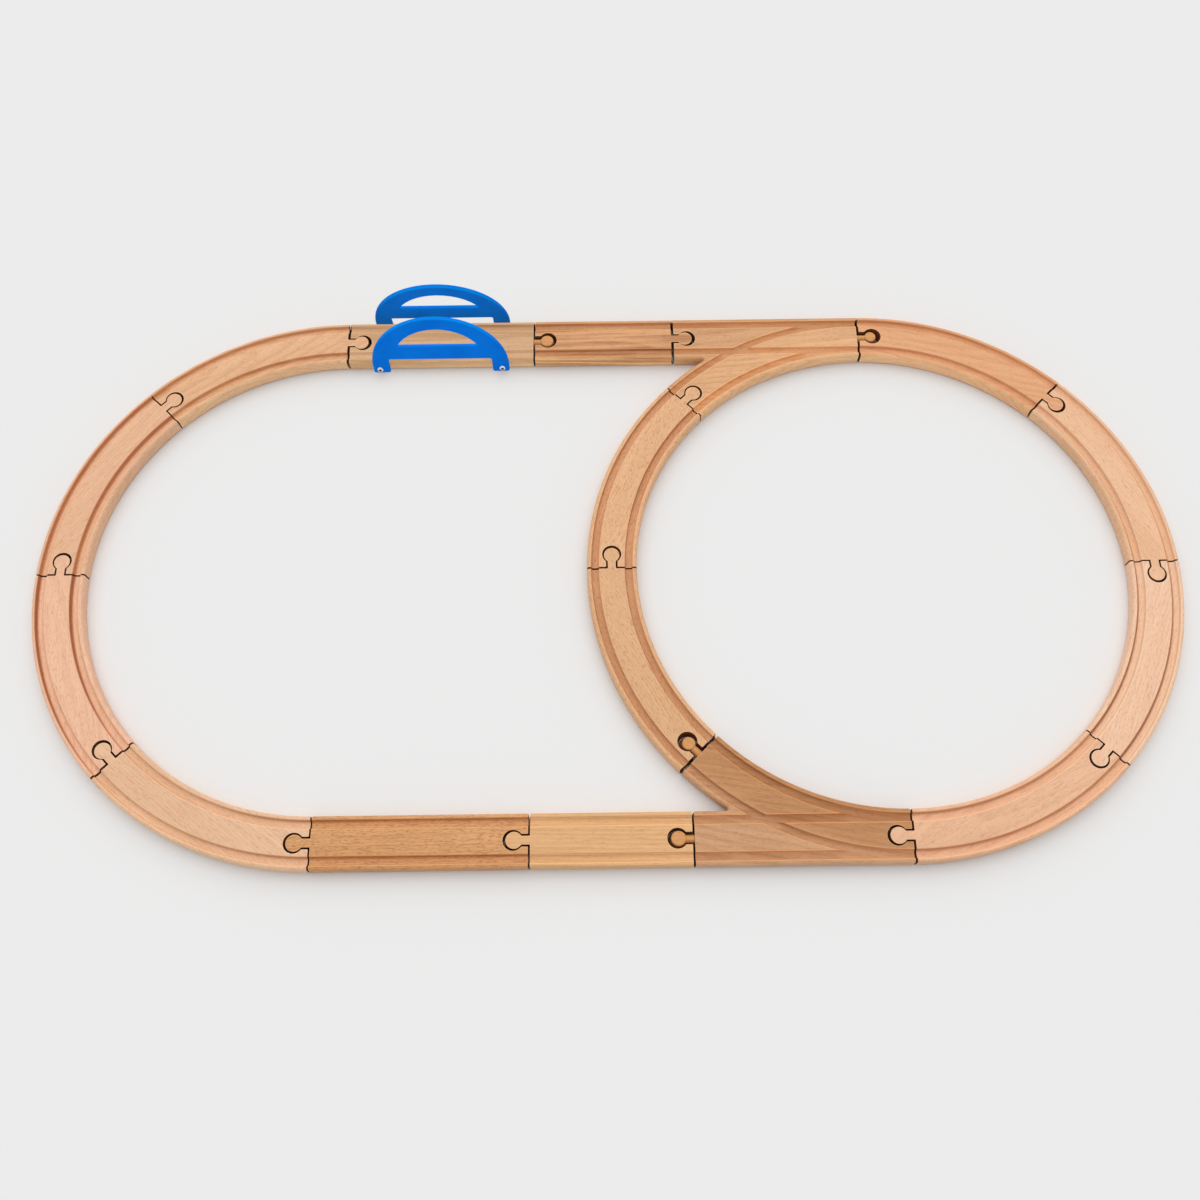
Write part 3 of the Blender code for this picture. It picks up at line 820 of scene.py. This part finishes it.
# switches: a straight road over the top of the circle, and a branch that follows the circle down
switchBoards = [
    {"node": "far_switch", "slot": "brown_beech", "flip": 1, "posts": (2.0, 1.7), "grain": 4, "tilt": 1.4,
     "ends": {"common": "peg", "through": "socket", "branch": "socket"},
     "light": (0.798, 0.45, 0.23), "dark": (0.576, 0.28, 0.122), "fleck": (0.40, 0.17, 0.06),
     "heart": (16, -30), "ring": 4.4, "ringShare": 0.34, "outside": (0.85, 0.81, 0.77),
     "grooveTone": (0.91, 0.80, 0.70), "wallLightAndShade": (1.25, 1.18, 1.1), "frontPaintedLight": (1.23, 1.33, 1.36),
     "highlightGain": 1.3},
    {"node": "near_switch", "slot": "brown_beech", "flip": -1, "grain": -9, "tilt": 2.4,
     "ends": {"common": "socket", "through": "peg", "branch": "peg"},
     "light": (0.532, 0.257, 0.107), "dark": (0.389, 0.163, 0.0574), "fleck": (0.28, 0.10, 0.03),
     "heart": (-30, -32), "ring": 4.0, "ringShare": 0.34, "streakShare": 1.2, "streakFine": 210,
     "outside": (1.17, 1.34, 1.66), "grooveTone": (0.90, 0.82, 0.76), "wallLightAndShade": (1.4, 1.36, 1.32),
     "frontPaintedLight": (1.1, 1.18, 1.3), "highlightGain": 1.55},
]
crotchRound = 1.5 * mm
switchRight = rightCentre.x - gap / 2
switchLeft = switchRight - longLength
branchAngle = quarter + eighth - gapAngle


def mirroredStep(step, flip):
    if flip > 0:
        return step
    if isinstance(step, Vector):
        return Vector((step.x, 2 * middleY - step.y, step.z))
    return mirroredStep(step[0], flip), -step[1]


for number, board in enumerate(switchBoards):
    look = {**rowGrain, **board, "seed": seedOf("switch", number)}
    flip = look["flip"]
    left, right = switchLeft, switchRight
    outer, inner = radius + halfWidth, radius - halfWidth
    commonAngle = quarter + math.asin(gap / 2 / inner)
    # the notch between the roads ends in a small round that touches both
    notchY = inner - crotchRound
    notchX = -math.sqrt((outer + crotchRound) ** 2 - notchY ** 2)
    notchAngle = math.atan2(notchY, notchX)
    notch = rightCentre + Vector((notchX, notchY, 0))
    # both are drawn as the far one, and the near one is mirrored over the middle line
    ends = [
        (look["ends"]["common"], Vector((right, rowFar, 0)), 0.0),
        (look["ends"]["through"], Vector((left, rowFar, 0)), math.pi),
        (look["ends"]["branch"], onCircle(rightCentre, radius, branchAngle), branchAngle + quarter),
    ]
    steps = [
        onCircle(rightCentre, inner, commonAngle),
        *endSteps(*ends[0]),
        *backEdge(left, right, rowFar + halfWidth, look["posts"]),
        *endSteps(*ends[1]),
        Vector((left, rowFar - halfWidth, 0)),
        notch + Vector((0, crotchRound, 0)),
        (notch, notchAngle - math.pi - quarter),
        (rightCentre, branchAngle - notchAngle),
        *endSteps(*ends[2]),
        onCircle(rightCentre, inner, branchAngle),
        (rightCentre, commonAngle - branchAngle),
    ]
    steps = [mirroredStep(step, flip) for step in steps]
    ends = [(kind, mirroredStep(spot, flip), heading * flip) for kind, spot, heading in ends]
    rowY = rowFar if flip > 0 else rowNear
    start, stop = sorted((flip * (quarter + gapAngle), flip * branchAngle))
    piece = makeBoard(look["node"] + "_board", steps, ends, (0, 0, 0))
    combine(piece, "DIFFERENCE", straightGrooves(look["groove"], left, right, rowY, False))
    combine(piece, "DIFFERENCE", curvedGrooves(look["groove"], rightCentre, start, stop, False))
    finishBoard(piece, look, Vector(((left + right) / 2, rowY, 0)))

# glued pegs: a round head with an upright axis on a dowel
peg = {
    "headRadius": 6.0 * mm, "headHeight": 10.4 * mm, "headRound": 1.2 * mm, "headSides": 56, "roundSteps": 5,
    "footRadius": 7.1 * mm,
    "dowelRadius": 3.1 * mm, "dowelLift": 1.4 * mm, "dowelSides": 40, "shank": 14 * mm,
}
pegGrain = {
    **rowGrain, "light": (0.705, 0.338, 0.118), "dark": (0.55, 0.23, 0.066), "fleck": (0.36, 0.13, 0.035),
    "tilt": 0, "heart": (0, 0), "ring": 2.6, "ringShare": 0.35,
}
pegPlaces = [
    {"node": "bridge_peg", "body": "bridge", "size": 0.94,
     "spot": (bridgeHigh.x, rowFar, 0), "heading": 0.0},
    {"node": "far_switch_peg", "body": "far_switch", "size": 0.82,
     "spot": (switchRight, rowFar, 0), "heading": 0.0},
    {"node": "near_switch_peg", "body": "near_switch", "size": 0.95,
     "spot": (switchLeft, rowNear, 0), "heading": math.pi},
    {"node": "near_switch_branch_peg", "body": "near_switch", "size": 0.85,
     "spot": onCircle(rightCentre, radius, -branchAngle), "heading": -branchAngle - quarter},
]


def pegPattern(size):
    # along +X from an end face at the origin
    deselect()
    reach, flange = joint["knobReach"], joint["flange"]
    headHeight = peg["headHeight"] - flange
    headRadius = peg["headRadius"] * size
    headMiddle = middleHeight + flange / 2
    headTop = headMiddle + headHeight / 2
    bpy.ops.mesh.primitive_cylinder_add(vertices=peg["headSides"], radius=headRadius, depth=headHeight,
                                        location=(reach, 0, headMiddle))
    head = newPiece("peg_pattern")
    settle()
    bpy.ops.object.mode_set(mode="EDIT")
    # a wider foot is drawn out of the underside, then the upper rim is rounded
    selectFaces(head, isUnderside)
    drawOut((0, 0, -flange))
    spread = peg["footRadius"] / headRadius
    bpy.ops.transform.resize(value=(spread, spread, 1), center_override=(reach, 0, 0))
    bpy.ops.transform.translate(value=(joint["slack"] * joint["footShare"], 0, 0))
    selectEdges(head, lambda edge: lowestOf(edge) > headTop - slim)
    bpy.ops.mesh.bevel(offset=peg["headRound"], segments=peg["roundSteps"], affect="EDGES")
    deselect()
    run = peg["shank"] + reach
    bpy.ops.mesh.primitive_cylinder_add(vertices=peg["dowelSides"], radius=peg["dowelRadius"], depth=run,
                                        location=(reach - run / 2, 0, middleHeight + peg["dowelLift"]),
                                        rotation=(0, quarter, 0))
    dowel = newPiece("peg_dowel")
    settle()
    combine(head, "UNION", dowel)
    smoothPiece(head)
    return head


def placedCopy(pattern, name, spot, turn):
    piece = pattern.copy()
    piece.data = pattern.data.copy()
    scene.collection.objects.link(piece)
    piece.name = name
    piece.data.name = name
    piece.location = spot
    piece.rotation_euler = turn
    pickOnly(piece)
    settle()
    return piece


for number, place in enumerate(pegPlaces):
    pattern = pegPattern(place["size"])
    piece = placedCopy(pattern, place["node"] + "_turned", place["spot"], (0, 0, place["heading"]))
    look = {**pegGrain, "seed": seedOf("peg", number), "grain": math.degrees(place["heading"])}
    material = beechMaterial(place["node"] + "_beech", look, place["spot"])
    finishPiece(piece, material, place["node"], place["body"], "peg_wood")
    bpy.data.objects.remove(pattern)
print("pegs", len(pegPlaces))

# blue side panels of the bridge: an arch with a window, drawn flat with y = 0 level with the track's top
panel = {
    "half": 59 * mm, "spring": -3 * mm, "rise": 60 * mm, "archStep": 3,
    "foot": -10.5 * mm, "footWidth": 14.5 * mm, "footRound": 2 * mm, "gapTop": 6.5 * mm,
    "windowHalf": 34.5 * mm, "windowTop": 43.5 * mm, "sill": 23 * mm,
    "depth": 3.4 * mm, "offset": 0.3 * mm, "lean": 6,
    "corner": 1.8 * mm, "cornerSteps": 4, "cornerFrom": 40,
    "round": 1.0 * mm, "roundSteps": 4, "smooth": 45,
}
# the far panel's plastic is darker than the near one's, as painted shade
panelSides = [
    {"side": "near", "turn": 0.0, "gain": 1.0},
    {"side": "far", "turn": math.pi, "gain": 0.9},
]


def panelPattern():
    # half of the arch, mirrored; the window is the part of a circle above its sill
    deselect()
    low = panel["offset"]
    gapHalf = panel["half"] - panel["footWidth"]
    rise = panel["windowTop"] - panel["sill"]
    bow = (panel["windowHalf"] ** 2 + rise ** 2) / (2 * rise)
    bowMiddle = Vector((0, panel["windowTop"] - bow, low))
    arch = []
    for degree in range(0, 91, panel["archStep"]):
        swing = math.radians(degree)
        height = panel["spring"] + panel["rise"] * math.sin(swing)
        arch.append(Vector((panel["half"] * math.cos(swing), height, low)))
    footRound = panel["footRound"]
    footMiddle = Vector((panel["half"] - footRound, panel["foot"] + footRound, low))
    steps = [
        Vector((0, panel["gapTop"], low)),
        Vector((gapHalf, panel["gapTop"], low)),
        Vector((gapHalf, panel["foot"], low)),
        footMiddle + Vector((0, -footRound, 0)),
        (footMiddle, quarter),
        *arch,
        Vector((0, panel["windowTop"], low)),
        (bowMiddle, -math.asin(panel["windowHalf"] / bow)),
        Vector((0, panel["sill"], low)),
    ]
    traceLoop(steps)
    piece = newPiece("panel_pattern")
    addTagSlots(piece)
    drawOut((0, 0, panel["depth"]))
    faceOutward()
    # the cut faces on the middle line go, so that the halves join
    selectFaces(piece, lambda face: abs(face.calc_center_median().x) < seam)
    bpy.ops.mesh.delete(type="FACE")
    applyModifier(piece, "MIRROR", use_clip=True, merge_threshold=seam)
    bpy.ops.object.mode_set(mode="EDIT")
    # the window's and the foot gap's corners are eased first, then every edge is rounded
    selectEdges(piece, isCorner)
    bpy.ops.mesh.bevel(offset=panel["corner"], segments=panel["cornerSteps"], affect="EDGES")
    selectEdges(piece, isCrisp)
    bpy.ops.mesh.bevel(offset=panel["round"], segments=panel["roundSteps"], affect="EDGES", material=rimTag)
    bpy.ops.object.mode_set(mode="OBJECT")
    tagsToLayers(piece)
    smoothPiece(piece, panel["smooth"])
    return piece


def isCorner(edge):
    goesThrough = abs(edge.verts[0].co.z - edge.verts[1].co.z) > panel["depth"] / 2
    return goesThrough and edge.is_manifold and edge.calc_face_angle() > math.radians(panel["cornerFrom"])


# pan-head screws with a cross recess
screw = {
    "spread": 53 * mm, "height": -4.9 * mm, "seat": 4.0 * mm, "radius": 2.6 * mm, "rise": 1.6 * mm,
    "sides": 40, "round": 0.9 * mm, "roundSteps": 5, "shankRadius": 1.3 * mm, "shankLength": 12.5 * mm,
    "slotWidth": 1.2 * mm, "slotLength": 3.0 * mm, "slotDepth": 1.0 * mm, "slotTurn": 20,
}


def screwPattern():
    deselect()
    top = screw["seat"] + screw["rise"]
    bpy.ops.mesh.primitive_cylinder_add(vertices=screw["sides"], radius=screw["radius"], depth=screw["rise"],
                                        location=(0, 0, top - screw["rise"] / 2))
    piece = newPiece("screw_pattern")
    addTagSlots(piece)
    settle()
    bpy.ops.object.mode_set(mode="EDIT")
    # the shank is drawn out of the underside
    selectFaces(piece, isUnderside)
    bpy.ops.mesh.inset(thickness=screw["radius"] - screw["shankRadius"])
    drawOut((0, 0, -screw["shankLength"]))
    selectEdges(piece, lambda edge: lowestOf(edge) > top - slim)
    bpy.ops.mesh.bevel(offset=screw["round"], segments=screw["roundSteps"], affect="EDGES")
    for number in range(2):
        turn = math.radians(screw["slotTurn"]) + number * quarter
        deselect()
        bpy.ops.mesh.primitive_cube_add(size=1, location=(0, 0, top), rotation=(0, 0, turn))
        slot = newPiece("screw_slot")
        slot.scale = (screw["slotLength"], screw["slotWidth"], 2 * screw["slotDepth"])
        settle()
        tagAll(slot, grooveTag)
        combine(piece, "DIFFERENCE", slot)
    tagsToLayers(piece)
    smoothPiece(piece)
    return piece


# blue plastic, a little paler on the upper edges as a painted highlight
plastic = {
    "base": (0.0, 0.215, 0.90), "deep": (0.0, 0.185, 0.82), "paintedHighlight": (0.0, 0.40, 1.0),
    "rimShare": 0.5, "rimHeight": (30 * mm, 55 * mm),
    "cloud": {"waves": (45, 45), "detail": 3.0, "span": (0.35, 0.7)},
    "grain": {"waves": (2600, 2600), "detail": 2.0},
    "scratch": {"waves": (60, 1500), "detail": 1.0, "span": (0.66, 0.74)},
    "roughness": 0.45, "cloudRough": 0.06, "scratchRough": 0.1, "scratchDepth": 0.5,
    "specular": 0.02, "bumpStrength": 0.12, "bumpDepth": 0.05 * mm,
}


def plasticMaterial(name, gain):
    made, start, shader = newMaterial(name)
    place = start.node("TexCoord", None, None, "Object")
    cloud = place.pattern(**plastic["cloud"])
    scratch = place.pattern(**plastic["scratch"])
    # painted highlight on the upper rims
    paintedHighlight = start.layer("rim") * place.parts()[2].ramp(*plastic["rimHeight"])
    colour = start.paint(scaled(plastic["base"], gain)).toward(scaled(plastic["deep"], gain), cloud)
    feed(colour.toward(plastic["paintedHighlight"], paintedHighlight * plastic["rimShare"]), shader, "Base Color")
    rough = plastic["roughness"] + cloud * plastic["cloudRough"] + scratch * plastic["scratchRough"]
    feed(rough, shader, "Roughness")
    emboss(place.pattern(**plastic["grain"]) - scratch * plastic["scratchDepth"], shader, plastic)
    shader.inputs["Specular IOR Level"].default_value = plastic["specular"]
    return made


# plated steel, stained, with painted shade in the cross recess
steel = {
    "base": (0.86, 0.85, 0.83), "dull": (0.55, 0.52, 0.48), "recess": (0.03, 0.028, 0.025),
    "stain": {"waves": (900, 900), "detail": 3.0, "span": (0.4, 0.75)},
    "stainShare": 0.6, "roughness": 0.32, "stainRough": 0.25, "bumpStrength": 0.1, "bumpDepth": 0.05 * mm,
}


def steelMaterial(name):
    made, start, shader = newMaterial(name)
    place = start.node("TexCoord", None, None, "Object")
    stain = place.pattern(**steel["stain"])
    colour = start.paint(steel["base"]).toward(steel["dull"], stain * steel["stainShare"])
    feed(colour.toward(steel["recess"], start.layer("groove")), shader, "Base Color")
    feed(steel["roughness"] + stain * steel["stainRough"], shader, "Roughness")
    emboss(stain, shader, steel)
    shader.inputs["Metallic"].default_value = 1.0
    return made


panelShape = panelPattern()
screwShape = screwPattern()
lean = math.radians(panel["lean"])
for look in panelSides:
    side, turn = look["side"], look["turn"]
    spot = Vector((longX, rowFar - halfWidth * math.cos(turn), thickness))
    stand = (quarter - lean, 0, turn)
    piece = placedCopy(panelShape, side + "_bridge_panel_arch", spot, stand)
    # the panel neither shades nor tints the floor and the track
    piece.visible_diffuse = False
    piece.visible_shadow = False
    material = plasticMaterial(side + "_panel_plastic", look["gain"])
    finishPiece(piece, material, side + "_bridge_panel", "bridge", "blue_plastic")
    upward = Vector((0, math.sin(lean) * math.cos(turn), math.cos(lean)))
    for end, across in (("left", -1), ("right", 1)):
        node = side + "_panel_screw_" + end
        seat = spot + Vector((across * screw["spread"], 0, 0)) + upward * screw["height"]
        piece = placedCopy(screwShape, node + "_head", seat, stand)
        finishPiece(piece, steelMaterial(node + "_steel"), node, "bridge", "screw_steel")
bpy.data.objects.remove(panelShape)
bpy.data.objects.remove(screwShape)
print("panels and screws")

# pale floor, even light, a little cooler from the dome than from the sun, and the photograph's camera
studio = {
    "floorTone": 0.83, "floorSize": 12.0, "floorRough": 0.9,
    "domeTone": (0.955, 1.0, 1.045), "domeStrength": 0.62,
    "sunTone": (1.072, 1.0, 0.928), "sunStrength": 1.45, "sunTilt": 33, "sunTurn": 2, "sunSpread": 85,
    "sunPlace": (0, 2, 3),
}
floorColour = (studio["floorTone"],) * 3 + (1,)
deselect()
bpy.ops.mesh.primitive_plane_add(size=studio["floorSize"], location=(0, 0, 0))
floor = newPiece("studio_floor")
floorMaterial, _, floorShader = newMaterial("studio_floor")
floorShader.inputs["Base Color"].default_value = floorColour
floorShader.inputs["Roughness"].default_value = studio["floorRough"]
floorShader.inputs["Specular IOR Level"].default_value = 0.0
floor.data.materials.append(floorMaterial)

# what the camera and mirrors see of the world is the floor's tone, and the dome only lights
world = bpy.data.worlds.new("studio")
world.use_nodes = True
sky = Wire(world.node_tree)
dome = sky.node("Background", None, {"Color": (*studio["domeTone"], 1), "Strength": studio["domeStrength"]})
backdrop = sky.node("Background", None, {"Color": floorColour, "Strength": 1.0})
seen = sky.node("LightPath", None, None, "Is Camera Ray")
for ray in ("Is Glossy Ray", "Is Transmission Ray"):
    seen = sky.math("MAXIMUM", seen, sky.node("LightPath", None, None, ray))
mixed = sky.node("MixShader", None, {0: seen, 1: dome, 2: backdrop})
feed(mixed, world.node_tree.nodes["World Output"], "Surface")
scene.world = world
bpy.ops.object.light_add(type="SUN", location=studio["sunPlace"])
sun = bpy.context.object
sun.data.energy = studio["sunStrength"]
sun.data.color = studio["sunTone"]
sun.data.angle = math.radians(studio["sunSpread"])
sun.rotation_euler = (-math.radians(studio["sunTilt"]), 0, math.radians(studio["sunTurn"]))

camera = {
    "lens": 35.7, "sensor": 36, "elevation": 67.5, "roll": 0.755,
    "aim": (-6.1 * mm, -26.4 * mm), "distance": 958 * mm,
}
pitch = math.radians(90 - camera["elevation"])
aimX, aimY = camera["aim"]
bpy.ops.object.camera_add()
eye = bpy.context.object
eye.data.lens = camera["lens"]
eye.data.sensor_width = camera["sensor"]
eye.rotation_mode = "ZYX"
eye.rotation_euler = (pitch, 0, -math.radians(camera["roll"]))
eye.location = (aimX, aimY - camera["distance"] * math.sin(pitch), camera["distance"] * math.cos(pitch))
scene.camera = eye
scene.view_settings.view_transform = "Standard"
